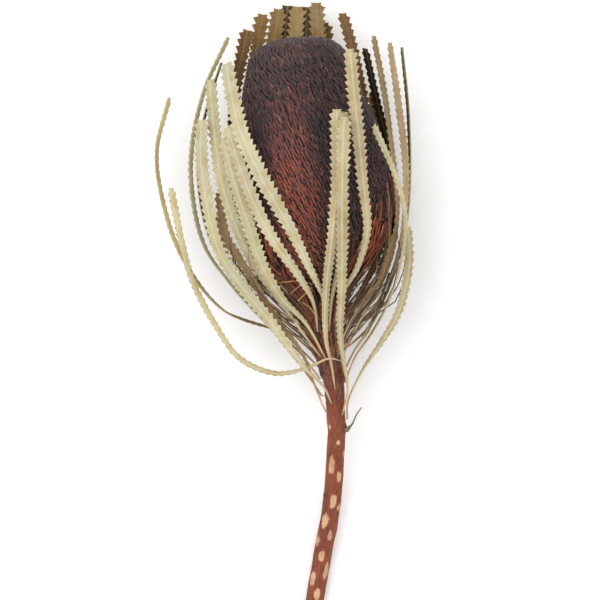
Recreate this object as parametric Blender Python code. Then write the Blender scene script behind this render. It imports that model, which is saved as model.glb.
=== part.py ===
"""Dried banksia flower spike lying on its side: a leafy stem with one acorn-shaped cone.

Blender 4.5, metres, +Z up. +Y runs along the stem from its cut end to the cone's tip, +X to the
right of the photographed face, +Z out of that face. The origin is the middle of the part's
footprint on the table, z = 0. The stem rests there on a flat spot near its cut end, and the cone
on two leaves pressed flat under it.

The tables below are measured from a point under the stem near its cut end, in mm, and LAYOUT
moves everything to the origin.
"""
import math
import random

import bmesh
import bpy
import numpy as np

MM = 0.001
LAYOUT = (10.36, -124.85, 0.0)   # from the tables' zero point to the part's origin, mm

# The stem and the cone share one axis. Heights (y), sideways place (x) and height over the
# table (z) of that axis, in mm.
AXIS_Y = [-4, 10, 20, 35, 44, 53, 66, 74, 82, 89, 100, 108, 114, 121, 134, 174, 240, 262]
AXIS_X = [-0.7, 1.5, 3.2, 5.8, 7.6, 9.0, 10.0, 10.4, 10.8, 10.4, 9.8, 8.6, 7.0, 6.2, 4.8, 0.8,
          -5.8, -8.0]
AXIS_Z = [3.3, 3.3, 3.9, 5.6, 7.3, 9.3, 12.7, 15.2, 18.0, 20.5, 24.4, 27.1, 29.0, 31.0, 33.6,
          38.6, 43.6, 45.0]

# Stem: radius along y, mm. It swells into a scaly neck below the cone.
STEM_Y = [-4, 0, 40, 80, 92, 104, 114, 122, 128, 132.6]
STEM_R = [3.5, 3.5, 3.6, 3.5, 3.7, 4.0, 4.6, 5.6, 6.6, 7.0]
STEM_SIDES = 12
STEM_STEP = 2.9
SCAR_RAISE = 0.35

# Leaf scars on the side that shows: place along the stem, angle round it from the front in
# degrees, half width and half length in mm.
SCARS = [(84.4, -48, 0.7, 1.3), (78.2, 15, 0.9, 1.2), (72.8, 62, 0.9, 1.6), (68.8, -22, 1.4, 4.0),
         (64.0, 34, 1.1, 2.5), (54.0, 7, 1.6, 3.0), (51.2, 53, 1.1, 2.0), (45.4, -27, 1.6, 3.4),
         (40.0, 23, 1.2, 2.2), (36.8, -53, 1.3, 2.2), (31.2, -7, 1.4, 2.3), (25.4, 43, 1.2, 4.0),
         (21.6, -39, 1.5, 3.2), (15.8, 7, 1.5, 2.5), (8.5, 30, 1.5, 2.6)]

# Cone: core radius against distance from its top, mm, along the straight line from its foot
# to its top.
CONE_FOOT = (4.8, 133.4, 33.5)
CONE_TOP = (-5.8, 239.6, 43.6)
CONE_S = [0, 1.2, 3.0, 5, 9, 17, 25, 32, 40, 50, 58, 66, 74, 82, 88, 94, 99, 103, 106.5]
CONE_R = [5.5, 10.5, 14.2, 16.6, 19.4, 21.6, 23.8, 26.2, 28.6, 30.4, 31.3, 31.0, 29.6, 26.6, 22.4,
          16.4, 11.2, 8.2, 7.2]
FLORETS_ROUND = 26
FLORET_ROW = 4.2               # spacing of the rows of flower buds along the surface, mm
FLORET_RAISE = 1.3
STYLE_COUNT = 40               # wiry styles that stand out of the lower half
STYLE_RADIUS = 0.5

# Leaves: radius of the shell that they bow round, against y, mm.
SHELL_Y = [86, 100, 112, 120, 128, 134, 142, 150, 160, 174, 190, 205, 220, 240, 256]
SHELL_R = [3.9, 4.2, 4.9, 6.2, 8.6, 12.5, 20.0, 27.5, 32.5, 34.6, 34.6, 33.6, 32.0, 29.0, 27.0]
BLADE_TIP = 3.2                # half width at a tooth's point, mm
BLADE_NOTCH = 2.1              # half width between two teeth
BLADE_TOOTH = 4.3              # length of one tooth along the edge
BLADE_RISE = 0.66              # share of a tooth over which its edge slopes out
BLADE_GROW = 60.0              # length over which a blade widens from its stalk
BLADE_TURN = 45.0              # length over which a blade takes up its facing
BLADE_TWIST = 24.0             # length over which it takes up its further turn
BLADE_KEEL = 1.0               # height of the midrib over the edges
PETIOLE = 0.6                  # half width of the leaf stalk
STALK = 14.0                   # length of the stalk, mm
PRESSED = 0.4                  # a blade lower than this over the table lies on it

# One row for each leaf: its name; where its stalk leaves the stem, as the place along the stem
# and the angle round it from the front; how far the blade turns with that angle (1 faces
# straight out, 0 faces front); a further turn in degrees; then the way from stalk to tip as
# (x, y, kind, value). Kind "f" or "b" stands value mm off the shell on the front or the back,
# kind "z" lies value mm over the table.
LEAVES = [
    ("leaf_01", 119, -112, 0.8, -4,
     [(-15, 123, "z", 25.3), (-35, 131, "z", 30), (-51, 151.5, "z", 33.5), (-59.5, 177.5, "z", 38),
      (-61, 194.5, "z", 41), (-56, 215, "z", 44)]),
    ("leaf_02", 109.5, 66, 0.45, 10,
     [(7.5, 111, "f", 4.6), (-1.5, 107, "z", 31), (-13.5, 105, "z", 29), (-28, 111, "z", 30.5),
      (-39, 126.5, "z", 35), (-47, 142.5, "z", 39), (-51.5, 159, "z", 42), (-55.5, 179, "z", 44)]),
    ("leaf_03", 103, -84, 0.9, -14,
     [(-4, 113.5, "z", 25), (-19, 127, "z", 29.5), (-33.5, 143.5, "z", 34), (-43, 158.5, "z", 38),
      (-47.5, 188.5, "z", 42), (-42.5, 216.5, "z", 44), (-32.5, 239, "z", 45)]),
    ("leaf_04", 108, -104, 0.9, 10,
     [(-10, 121, "z", 22.5), (-29.5, 141, "z", 28), (-41, 163, "z", 33), (-44.5, 190.5, "z", 37),
      (-41, 210.5, "z", 39), (-35, 229, "z", 40)]),
    ("leaf_05", 93, -18, 0.45, 0,
     [(6, 99, "f", 1.8), (-3, 108.5, "z", 36), (-16.2, 126.4, "z", 43.2), (-29, 142.6, "z", 47.2),
      (-36.2, 154.5, "z", 50), (-40.2, 170, "z", 51.5), (-43, 188.5, "z", 52), (-43, 206, "z", 52)]),
    ("leaf_06", 112, -34, 0.4, 0,
     [(-8, 128.5, "z", 39), (-19, 144.5, "z", 46.5), (-29.5, 164.5, "z", 53.5),
      (-35, 182.5, "z", 54), (-38, 202.5, "z", 52), (-39.5, 222, "z", 50)]),
    ("leaf_07", 89.5, -50, 0.35, 160,
     [(2.5, 99, "z", 25.5), (-3.5, 113.5, "z", 31.5), (-13.5, 127, "z", 38.5),
      (-25.5, 146.5, "z", 43.5), (-33, 158.5, "z", 45.5), (-36.5, 177, "z", 47)]),
    ("leaf_08", 96, -84, 0.5, 160,
     [(-2, 106, "z", 24), (-9.5, 117, "z", 29), (-23, 133, "z", 36), (-33.5, 149.5, "z", 39.5),
      (-39, 168.5, "z", 42)]),
    ("leaf_09", 111, -14, 0.55, 0,
     [(-1.5, 125, "z", 40), (-10.5, 134.5, "z", 47), (-18.5, 147.5, "f", 3.2),
      (-25, 167, "f", 3), (-29.5, 180.5, "f", 3.0), (-34, 198.5, "z", 57.5)]),
    ("leaf_10", 122, -24, 0.6, 0,
     [(1.5, 133, "z", 46.5), (-4.5, 144, "f", 3), (-15, 159, "f", 2.6), (-22, 173, "f", 2.4),
      (-26.5, 184.5, "f", 2.6), (-32.5, 203, "f", 2.4)]),
    ("leaf_11", 126.4, -4, 0.6, 0,
     [(5, 135.5, "f", 2.6), (-0.9, 148.5, "f", 2.6), (-9, 165, "f", 2.6),
      (-19.5, 183.5, "f", 2.6), (-28, 203.5, "f", 3), (-33, 228, "f", 4)]),
    ("leaf_12", 99, 2, 0.6, 0,
     [(8.5, 109, "f", 0.9), (6.5, 118, "f", 2.8), (6, 130.5, "f", 5.5), (7, 145.5, "f", 5),
      (9, 161, "f", 5.2), (10.5, 178.5, "f", 5.4), (10.5, 209.5, "f", 5.4)]),
    ("leaf_13", 122.4, 12, 0.8, 0,
     [(8.5, 134.5, "f", 1.8), (11, 146.5, "f", 1.6), (12.5, 161, "f", 1.8), (12, 176.5, "f", 2),
      (13, 196, "f", 1.8), (14, 208.5, "f", 1.5)]),
    ("leaf_14", 88.4, 30, 0.3, 0,
     [(15, 98, "f", 1.8), (13.5, 109.5, "f", 4.5), (12, 121, "f", 8), (12.5, 139.5, "f", 7.8),
      (12.6, 156.5, "f", 7.6), (12.6, 176.5, "f", 7.7), (12.9, 194, "f", 7.7), (13.5, 206.5, "f", 7.4)]),
    ("leaf_15", 125.6, 30, 0.6, 0,
     [(13, 137.5, "f", 2.2), (19, 148, "f", 2.6), (22.5, 162.5, "f", 2.8), (21, 178.5, "f", 3),
      (19, 198.5, "f", 4), (15.5, 233.5, "f", 4.4)]),
    ("leaf_16", 121, 134, 1, 0,
     [(14, 138.5, "b", 1.6), (21.5, 156.5, "b", 2), (25, 178.5, "b", 2.2), (22.5, 206.5, "b", 2.4),
      (17.5, 233.5, "z", 18), (13, 249.5, "z", 22)]),
    ("leaf_17", 121.6, 112, 1.05, 0,
     [(21, 134.5, "b", 3), (30.5, 154.5, "b", 1.8), (33.5, 174.5, "b", 1.8), (32, 192.5, "b", 1.8),
      (27.5, 211, "b", 2.6), (22, 235, "z", 30)]),
    ("leaf_18", 101.6, 58, 0.75, -20,
     [(17.5, 111, "z", 28), (25, 122, "z", 33), (31.5, 135, "z", 38.5), (37, 155, "z", 47),
      (37.5, 170, "z", 54), (33, 185.5, "f", 4), (25, 203.5, "f", 4.4)]),
    ("leaf_19", 113.6, 80, 0.7, 168,
     [(18, 123, "z", 32), (27, 137, "z", 37), (32.5, 151, "z", 42.5), (35, 170.5, "z", 47.5),
      (33, 192.5, "z", 51), (30, 215, "z", 52), (25.5, 239.5, "z", 50)]),
    ("leaf_20", 116.4, 98, 0.8, 186,
     [(17.5, 122.5, "z", 27.5), (26.5, 132, "z", 30), (34.5, 149.5, "z", 34.5), (38, 168.5, "z", 38.5),
      (38.4, 188.5, "z", 41), (35.6, 211.5, "z", 43), (32, 237, "z", 44)]),
    ("leaf_21", 114.4, 112, 0.95, 0,
     [(18.5, 118.5, "z", 22.5), (24.4, 124.6, "z", 23), (30, 136, "z", 25.5), (34.5, 149, "z", 28),
      (38.2, 164, "z", 30), (39.6, 182, "z", 31.5), (39, 210.5, "z", 32.5), (36.5, 235.5, "z", 33)]),
    ("leaf_22", 86.4, 62, 0.4, 0,
     [(15, 93.5, "z", 23.5), (20.3, 105.2, "z", 28), (28.4, 117.5, "z", 33.5), (34.6, 128, "z", 37.5),
      (38.2, 140, "z", 39.5), (39.4, 151, "z", 40.5), (38.8, 163.5, "z", 41.5)]),
    ("leaf_23", 107, 86, 0.8, 172,
     [(17, 113, "z", 26), (22.8, 121.6, "z", 29.5), (27.8, 132, "z", 34.4), (32.15, 145, "z", 37.7)]),
    ("leaf_24", 117, 56, 0.45, 150,
     [(15.5, 124.5, "z", 36.5), (22.4, 134.4, "z", 41.5), (28, 142.5, "z", 45), (34.3, 161.5, "z", 50)]),
    ("leaf_25", 123.6, -164, 1, 0,
     [(-2, 139, "b", 3), (-6.5, 160.5, "b", 2.4), (-10.5, 186.5, "b", 2.6), (-11.5, 218.5, "b", 3),
      (-9, 253, "b", 4)]),
    ("leaf_26", 125.6, 178, 1, 0,
     [(3, 139, "b", 1.4), (-1, 160.5, "b", 1.2), (-4, 186.5, "b", 1.2), (-6.5, 218.5, "b", 1.2),
      (-5, 252.5, "b", 1.2)]),
    ("leaf_27", 123.2, 172, 1, 0,
     [(6.5, 139, "b", 3.4), (4.5, 160.5, "b", 2.0), (1.5, 186.5, "b", 1.8), (-1.5, 218.5, "b", 3.0),
      (-1.5, 252.5, "b", 4.4)]),
    ("leaf_28", 124.8, 161, 1, 0,
     [(9.5, 139, "b", 1.4), (10, 160.5, "b", 1.2), (8, 186.5, "b", 1.2), (4.5, 218.5, "b", 1.2),
      (2.5, 254, "b", 1.4)]),
    ("leaf_29", 122.4, 150, 1, 0,
     [(12, 139, "b", 3.4), (15, 160.5, "b", 2.8), (14.5, 186.5, "b", 2.6), (9.5, 218.5, "b", 3.2),
      (5.5, 246, "b", 4.6)]),
    ("leaf_30", 126, -152, 1, 0,
     [(-5, 139, "b", 1.8), (-12, 160.5, "b", 1.4), (-16.5, 186.5, "b", 1.2), (-17.5, 218.5, "b", 1.2),
      (-12.5, 251.5, "b", 1.6)]),
    ("leaf_31", 122.8, -138, 1, 0,
     [(-9, 139, "b", 3.2), (-19, 160.5, "b", 2.8), (-24, 186.5, "b", 2.8), (-24, 216.5, "b", 3.2),
      (-19, 249.5, "b", 4.2)]),
    ("leaf_32", 120.8, -112, 1, 0,
     [(-8, 133, "b", 4), (-23, 154.5, "b", 2.2), (-29.5, 172.5, "b", 1.4), (-31.5, 194.5, "b", 1.8),
      (-29.5, 221, "b", 2.6), (-25, 243, "b", 3)]),
    ("leaf_33", 118.4, -150, 1.187, 0,
     [(-3.5, 134.5, "z", 17), (-13.5, 152.5, "z", 5.2), (-19, 168.5, "z", 0.6), (-21.5, 182.5, "z", 0),
      (-22.5, 194.5, "z", 0), (-21.5, 209.5, "z", 2.2), (-19, 224.5, "z", 7)]),
    ("leaf_34", 117.6, 150, 1.183, 0,
     [(15, 134.5, "z", 17), (20.5, 152.5, "z", 5.2), (22.5, 168.5, "z", 0.6), (21, 182.5, "z", 0),
      (19.5, 194.5, "z", 0), (17, 209.5, "z", 2.2), (14, 223, "z", 7)]),
    ("leaf_35", 116.4, -124, 1, 0,
     [(-8, 133, "z", 19), (-21.5, 152.5, "z", 13), (-28, 171, "z", 11), (-30.5, 190.5, "z", 11.5),
      (-30.5, 207.5, "z", 12.5)]),
    ("leaf_36", 112, 128, 1, 0,
     [(17.5, 131, "z", 17.5), (27.5, 152.5, "z", 12.5), (31, 171, "z", 11), (29.5, 190.5, "z", 10.5),
      (27, 206.5, "z", 11.5), (25, 217.5, "z", 13.5)]),
]
RESTING = ("leaf_33", "leaf_34")          # pressed flat on the table under the cone

# How wide a blade is against the others, where it isn't as wide as they are.
LEAF_WIDTH = {
    "leaf_01": 0.8, "leaf_02": 0.68, "leaf_03": 0.65, "leaf_04": 0.8, "leaf_05": 1.06, "leaf_07": 0.66,
    "leaf_08": 0.75, "leaf_09": 1.05, "leaf_10": 1.05, "leaf_11": 1.2, "leaf_12": 0.95,
    "leaf_13": 0.95, "leaf_14": 0.95, "leaf_16": 1.1, "leaf_17": 1.05, "leaf_18": 0.85,
    "leaf_19": 0.85, "leaf_21": 0.9, "leaf_22": 0.8, "leaf_23": 0.8, "leaf_24": 0.8,
    "leaf_25": 1.15, "leaf_26": 1.15, "leaf_27": 1.15, "leaf_28": 1.15, "leaf_29": 1.15,
    "leaf_30": 1.15, "leaf_31": 1.15, "leaf_32": 1.15,
}
# Length over which a blade widens, where it isn't BLADE_GROW or three quarters of a short blade.
LEAF_GROW = {"leaf_05": 40, "leaf_06": 42, "leaf_07": 66, "leaf_09": 42, "leaf_10": 50, "leaf_12": 82,
             "leaf_13": 74, "leaf_14": 84, "leaf_15": 74}
STUB_TWIG = [(14.6, 82.0, 20.0), (17.0, 84.5, 21.5), (18.8, 88.5, 22.5), (20.8, 91.2, 23.0)]


def clear_scene():
    """Remove every object that the scene starts with."""
    for ob in list(bpy.data.objects):
        bpy.data.objects.remove(ob, do_unlink=True)


def material(name, rgb, roughness):
    """A plain Principled material in linear colour."""
    mat = bpy.data.materials.new(name)
    mat.use_nodes = True
    bsdf = mat.node_tree.nodes["Principled BSDF"]
    bsdf.inputs["Base Color"].default_value = (*rgb, 1.0)
    bsdf.inputs["Roughness"].default_value = roughness
    bsdf.inputs["Metallic"].default_value = 0.0
    return mat


def add_object(name, bm, mat, collection):
    """Put a finished bmesh, built in mm, into the scene as one object in metres."""
    bmesh.ops.translate(bm, vec=LAYOUT, verts=bm.verts)
    bmesh.ops.scale(bm, vec=(MM, MM, MM), verts=bm.verts)
    bmesh.ops.recalc_face_normals(bm, faces=bm.faces)
    mesh = bpy.data.meshes.new(name)
    bm.to_mesh(mesh)
    bm.free()
    mesh.materials.append(mat)
    ob = bpy.data.objects.new(name, mesh)
    collection.objects.link(ob)
    return ob


def axis_at(y):
    """Point of the shared axis at height y, mm."""
    return np.array([np.interp(y, AXIS_Y, AXIS_X), y, np.interp(y, AXIS_Y, AXIS_Z)])


def smooth_path(points, step):
    """Points about `step` mm apart along a centripetal Catmull-Rom curve through `points`."""
    pts = np.array(points, float)
    pts = np.vstack([2 * pts[0] - pts[1], pts, 2 * pts[-1] - pts[-2]])
    dense = []
    for i in range(1, len(pts) - 2):
        p0, p1, p2, p3 = pts[i - 1:i + 3]
        t1 = np.linalg.norm(p1 - p0) ** 0.5
        t2 = t1 + np.linalg.norm(p2 - p1) ** 0.5
        t3 = t2 + np.linalg.norm(p3 - p2) ** 0.5
        t = np.linspace(t1, t2, 40, endpoint=False)[:, None]
        a1 = (t1 - t) / t1 * p0 + t / t1 * p1
        a2 = (t2 - t) / (t2 - t1) * p1 + (t - t1) / (t2 - t1) * p2
        a3 = (t3 - t) / (t3 - t2) * p2 + (t - t2) / (t3 - t2) * p3
        b1 = (t2 - t) / t2 * a1 + t / t2 * a2
        b2 = (t3 - t) / (t3 - t1) * a2 + (t - t1) / (t3 - t1) * a3
        dense.append((t2 - t) / (t2 - t1) * b1 + (t - t1) / (t2 - t1) * b2)
    dense = np.vstack(dense + [pts[-2][None]])
    run = np.concatenate([[0], np.cumsum(np.linalg.norm(np.diff(dense, axis=0), axis=1))])
    count = max(2, int(round(run[-1] / step)))
    at = np.linspace(0, run[-1], count + 1)
    return np.stack([np.interp(at, run, dense[:, k]) for k in range(3)], axis=1), at


def loft(sections):
    """One closed body through rings of equal count, each end closed by one flat face."""
    bm = bmesh.new()
    rings = [[bm.verts.new(p) for p in ring] for ring in sections]
    count = len(rings[0])
    for low, high in zip(rings, rings[1:]):
        for i in range(count):
            j = (i + 1) % count
            bm.faces.new((low[i], low[j], high[j]))
            bm.faces.new((low[i], high[j], high[i]))
    bm.faces.new(list(reversed(rings[0])))
    bm.faces.new(rings[-1])
    return bm


def ring_frame(tangent, up):
    """Two unit directions square to the tangent, the second as near to `up` as it goes."""
    tangent = tangent / np.linalg.norm(tangent)
    side = np.cross(tangent, up)
    side /= np.linalg.norm(side)
    return side, np.cross(side, tangent)


def scar_raise(y, angle, radius):
    """Height of the leaf scars over the stem: a soft oval bump for each."""
    high = 0.0
    for scar_y, scar_angle, half_width, half_length in SCARS:
        across = math.radians((angle - scar_angle + 180) % 360 - 180) * radius / half_width
        along = (y - scar_y) / half_length
        high = max(high, SCAR_RAISE * math.exp(-(across ** 2 + along ** 2)))
    return high


def neck_raise(y, angle):
    """Height of the scales on the neck: a small diamond pattern that starts above the stem."""
    grow = min(max((y - 108) / 14, 0), 1)
    return 0.45 * grow * abs(math.cos(math.radians(angle * 3)) * math.cos(y * math.pi / 5.8))


def build_stem(collection):
    """Round stem along the axis, flat underneath where it rests, with scars, scales and a stub."""
    centre, _ = smooth_path([axis_at(y) for y in np.linspace(STEM_Y[0], STEM_Y[-1], 24)], STEM_STEP)
    tangents = np.gradient(centre, axis=0)
    sections = []
    for point, tangent in zip(centre, tangents):
        side, up = ring_frame(tangent, np.array([0.0, 0.0, 1.0]))
        radius = np.interp(point[1], STEM_Y, STEM_R)
        ring = []
        for k in range(STEM_SIDES):
            angle = 360 * (k + 0.5) / STEM_SIDES
            r = radius + scar_raise(point[1], angle, radius) + neck_raise(point[1], angle)
            turn = math.radians(angle)
            p = point + r * (math.sin(turn) * side + math.cos(turn) * up)
            p[2] = max(p[2], 0.0)
            ring.append(p)
        sections.append(ring)
    stem = add_object("stem", loft(sections), material("stem bark", (0.235, 0.062, 0.028), 0.6),
                      collection)
    twig = tube(STUB_TWIG, [1.3, 0.6, 0.45, 0.4], 5)
    cutter = add_object("stub_twig", twig, stem.data.materials[0], collection)
    join_all(stem, [cutter], collection)
    return stem


def tube(points, radii, sides):
    """A thin round rod through the points."""
    pts = np.array(points, float)
    tangents = np.gradient(pts, axis=0)
    up = np.array([0.13, 0.21, 0.97])
    sections = []
    for point, tangent, radius in zip(pts, tangents, radii):
        side, top = ring_frame(tangent, up)
        turns = [2 * math.pi * k / sides for k in range(sides)]
        sections.append([point + radius * (math.cos(a) * side + math.sin(a) * top) for a in turns])
    return loft(sections)


def join_all(body, pieces, collection):
    """Union the pieces into the body and drop them, so that one closed body is left."""
    group = bpy.data.collections.new(body.name + "_pieces")
    bpy.context.scene.collection.children.link(group)
    for piece in pieces:
        collection.objects.unlink(piece)
        group.objects.link(piece)
    cut = body.modifiers.new("join", "BOOLEAN")
    cut.operation = "UNION"
    cut.operand_type = "COLLECTION"
    cut.collection = group
    cut.solver = "MANIFOLD"
    depsgraph = bpy.context.evaluated_depsgraph_get()
    joined = bpy.data.meshes.new_from_object(body.evaluated_get(depsgraph))
    body.modifiers.clear()
    body.data = joined
    for piece in pieces:
        bpy.data.objects.remove(piece, do_unlink=True)
    bpy.data.collections.remove(group)


def cone_frame():
    """The cone's top, its unit direction from top to foot and two directions square to it."""
    top = np.array(CONE_TOP, float)
    foot = np.array(CONE_FOOT, float)
    down = (foot - top) / np.linalg.norm(foot - top)
    side, up = ring_frame(-down, np.array([0.0, 0.0, 1.0]))
    return top, down, side, up


def cone_point(s, angle, lift=0.0):
    """Point of the cone `s` mm below its top at `angle` from the front, `lift` mm off its core."""
    top, down, side, up = cone_frame()
    radius = np.interp(s, CONE_S, CONE_R) + lift
    return top + down * s + radius * (math.sin(angle) * side + math.cos(angle) * up)


def floret_rows():
    """Distances from the top of the rows of buds, FLORET_ROW mm apart along the surface."""
    s = np.linspace(CONE_S[0], CONE_S[-1], 800)
    r = np.interp(s, CONE_S, CONE_R)
    run = np.concatenate([[0], np.cumsum(np.hypot(np.diff(s), np.diff(r)))])
    count = int(round(run[-1] / FLORET_ROW))
    return np.interp(np.linspace(0, run[-1], count + 1), run, s)


def build_cone(collection):
    """The spike: diamond buds in staggered rows, each drawn out to a point that leans upward."""
    bm = bmesh.new()
    rows = floret_rows()
    step = 2 * math.pi / FLORETS_ROUND
    net = []
    for j, s in enumerate(rows):
        turn = 0.5 * step * (j % 2)
        net.append([bm.verts.new(cone_point(s, i * step + turn)) for i in range(FLORETS_ROUND)])
    for j in range(len(rows)):
        for i in range(FLORETS_ROUND):
            left = net[j][i]
            right = net[j][(i + 1) % FLORETS_ROUND]
            shift = i + (j % 2)
            angle = (i + 0.5 + 0.5 * (j % 2)) * step
            if j in (0, len(rows) - 1):
                inner = net[1] if j == 0 else net[-2]
                bm.faces.new((left, right, inner[shift % FLORETS_ROUND]))
                continue
            reach = rows[j] - 0.25 * (rows[j] - rows[j - 1])
            width = np.interp(rows[j], CONE_S, CONE_R) * step
            apex = bm.verts.new(cone_point(reach, angle, FLORET_RAISE * min(width / 6, 1)))
            above = net[j - 1][shift % FLORETS_ROUND]
            below = net[j + 1][shift % FLORETS_ROUND]
            for a, b in ((left, above), (above, right), (right, below), (below, left)):
                bm.faces.new((a, b, apex))
    bm.faces.new(list(reversed(net[0])))
    bm.faces.new(net[-1])
    cone = add_object("cone", bm, material("dried flower buds", (0.10, 0.038, 0.028), 0.8), collection)
    join_all(cone, build_styles(cone.data.materials[0], collection), collection)
    return cone


def build_styles(mat, collection):
    """Wiry styles on the lower half: each leaves the surface and hooks up toward the tip."""
    rng = random.Random(7)
    styles = []
    for k in range(STYLE_COUNT):
        s = 62 + 26 * ((k * 0.618) % 1) + rng.uniform(-1, 1)
        angle = 2 * math.pi * (k * 0.3819 + rng.uniform(-0.01, 0.01))
        lean = rng.uniform(-0.10, 0.10)
        way = [(0.0, -2.2), (1.5, 0.6), (0.5, 2.4), (-3.0, 3.2), (-8.0, 2.9 + rng.uniform(-0.4, 0.3))]
        points = [cone_point(s + ds, angle + lean * max(-ds, 0) / 8, lift) for ds, lift in way]
        radii = [0.75, 0.6, STYLE_RADIUS, STYLE_RADIUS, 0.45]
        styles.append(add_object("style_%02d" % k, tube(points, radii, 3), mat, collection))
    return styles


def leaf_points(y, angle, way):
    """Control points of a leaf in space, from its foot on the stem to its tip."""
    turn = math.radians(angle)
    foot = axis_at(y)
    radius = np.interp(y, STEM_Y, STEM_R) + 1.1 + (0.5 if y > 108 else 0)
    out = np.array([math.sin(turn), 0.0, math.cos(turn)])
    points = [foot + radius * out]
    for x, py, kind, value in way:
        centre = axis_at(py)
        if kind == "z":
            points.append(np.array([x, py, value]))
            continue
        shell = np.interp(py, SHELL_Y, SHELL_R) + value
        across = x - centre[0]
        height = math.sqrt(max(shell ** 2 - across ** 2, 0))
        points.append(np.array([x, py, centre[2] + (height if kind == "f" else -height)]))
    return points


def leaf_width(name, run, length, index):
    """Half width: a narrow stalk, then teeth at every second station of a blade that widens."""
    reach = LEAF_GROW.get(name, min(BLADE_GROW, 0.75 * (length - STALK)))
    grow = min(max((run - STALK) / reach, 0), 1) ** 0.8
    edge = BLADE_NOTCH if index % 2 == 0 else BLADE_TIP
    return PETIOLE + grow * (edge * LEAF_WIDTH.get(name, 1.0) - PETIOLE)


def leaf_stations(length):
    """Places along a leaf: a few on the stalk, then each tooth's notch and point up to the tip."""
    bare = np.linspace(0, STALK, 4)[:-1]
    teeth = int(round((length - STALK) / BLADE_TOOTH))
    pitch = (length - STALK) / (teeth - 1 + BLADE_RISE)
    notches = STALK + pitch * np.arange(teeth)
    saw = np.stack([notches, notches + BLADE_RISE * pitch], axis=1).ravel()
    return np.concatenate([bare, saw]), len(bare)


def build_leaf(row, mat, collection):
    """Saw-edged strap with a midrib: a flat triangle of section, wide at each tooth's point."""
    name, y, angle, face, twist, way = row
    dense, run = smooth_path(leaf_points(y, angle, way), 0.8)
    at, bare = leaf_stations(run[-1])
    centre = np.stack([np.interp(at, run, dense[:, k]) for k in range(3)], axis=1)
    tangents = np.gradient(centre, at, axis=0)
    keel = -BLADE_KEEL if name in RESTING else BLADE_KEEL
    sections = []
    for i, (point, tangent) in enumerate(zip(centre, tangents)):
        out = point - axis_at(point[1])
        turn = math.atan2(out[0], out[2]) * (1 - (1 - face) * min(at[i] / BLADE_TURN, 1))
        out = np.array([math.sin(turn), 0.0, math.cos(turn)])
        side, up = ring_frame(tangent, out)
        roll = math.radians(twist * min(at[i] / BLADE_TWIST, 1))
        side, up = (math.cos(roll) * side + math.sin(roll) * up,
                    math.cos(roll) * up - math.sin(roll) * side)
        half = leaf_width(name, at[i], run[-1], i - bare)
        ring = [point - half * side, point + half * side, point + keel * up]
        for p in ring:
            p[2] = p[2] if p[2] > PRESSED else 0.0
        sections.append(ring)
    bm = loft(sections)
    pressed = [f for f in bm.faces if all(v.co.z == 0 for v in f.verts)]
    if pressed:
        bmesh.ops.dissolve_faces(bm, faces=pressed)
    return add_object(name, bm, mat, collection)


def main():
    clear_scene()
    parts = bpy.data.collections.new("banksia_cone")
    bpy.context.scene.collection.children.link(parts)
    build_stem(parts)
    build_cone(parts)
    felt = (0.50, 0.42, 0.24)
    for row in LEAVES:
        build_leaf(row, material(row[0] + " dried leaf", felt, 0.8), parts)


main()
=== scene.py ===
"""Studio picture of a dried banksia flower spike, lying on a pale floor and seen from above.

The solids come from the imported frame, and each of them is replaced here by a finer piece of the
same form. Tables and formulas are in mm, measured from a point under the stem near its cut end,
and LAYOUT moves them to the frame's origin. +Y runs from the cut end to the cone's tip.
"""
import math

import bpy
import numpy as np
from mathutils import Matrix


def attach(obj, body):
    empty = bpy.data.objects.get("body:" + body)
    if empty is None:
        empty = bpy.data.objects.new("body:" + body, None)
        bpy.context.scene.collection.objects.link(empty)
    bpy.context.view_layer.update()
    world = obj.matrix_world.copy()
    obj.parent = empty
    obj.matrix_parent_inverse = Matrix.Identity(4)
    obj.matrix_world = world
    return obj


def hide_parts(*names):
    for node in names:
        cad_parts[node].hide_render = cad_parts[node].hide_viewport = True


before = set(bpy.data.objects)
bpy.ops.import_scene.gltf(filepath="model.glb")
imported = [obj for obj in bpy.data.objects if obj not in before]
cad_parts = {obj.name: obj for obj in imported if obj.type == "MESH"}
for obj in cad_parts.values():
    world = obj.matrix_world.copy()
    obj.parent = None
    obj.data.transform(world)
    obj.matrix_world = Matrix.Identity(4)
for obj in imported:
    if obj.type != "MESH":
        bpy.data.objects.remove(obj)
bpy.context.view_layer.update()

MM = 0.001
LAYOUT = np.array([10.36, -124.85, 0.0])
RNG = np.random.default_rng(23)

# The photo's frame: its middle in the tables' mm, its width, and the height that it is sharp at.
PHOTO_MIDDLE = (-4.0, 134.4)
PHOTO_WIDE = 240.0
PHOTO_HEIGHT = 38.0
CAMERA_AWAY = 2800.0
SENSOR = 36.0

# The stage, in metres and watts. Each light: name, place over the frame's origin, size, power.
FLOOR_HALF = 4.0
LIGHTS = [("key", (-0.7, 0.5, 1.45), 1.1, 8.5), ("above", (0.1, 0.0, 1.8), 1.6, 8.5)]
WORLD_LIGHT = 0.92

# Axis that stem and cone share: sideways place and height over the floor, against y.
AXIS_Y = [-4, 10, 20, 35, 44, 53, 66, 74, 82, 89, 100, 108, 114, 121, 134, 174, 240, 262]
AXIS_X = [-0.7, 1.5, 3.2, 5.8, 7.6, 9.0, 10.0, 10.4, 10.8, 10.4, 9.8, 8.6, 7.0, 6.2, 4.8, 0.8,
          -5.8, -8.0]
AXIS_Z = [3.3, 3.3, 3.9, 5.6, 7.3, 9.3, 12.7, 15.2, 18.0, 20.5, 24.4, 27.1, 29.0, 31.0, 33.6,
          38.6, 43.6, 45.0]

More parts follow.
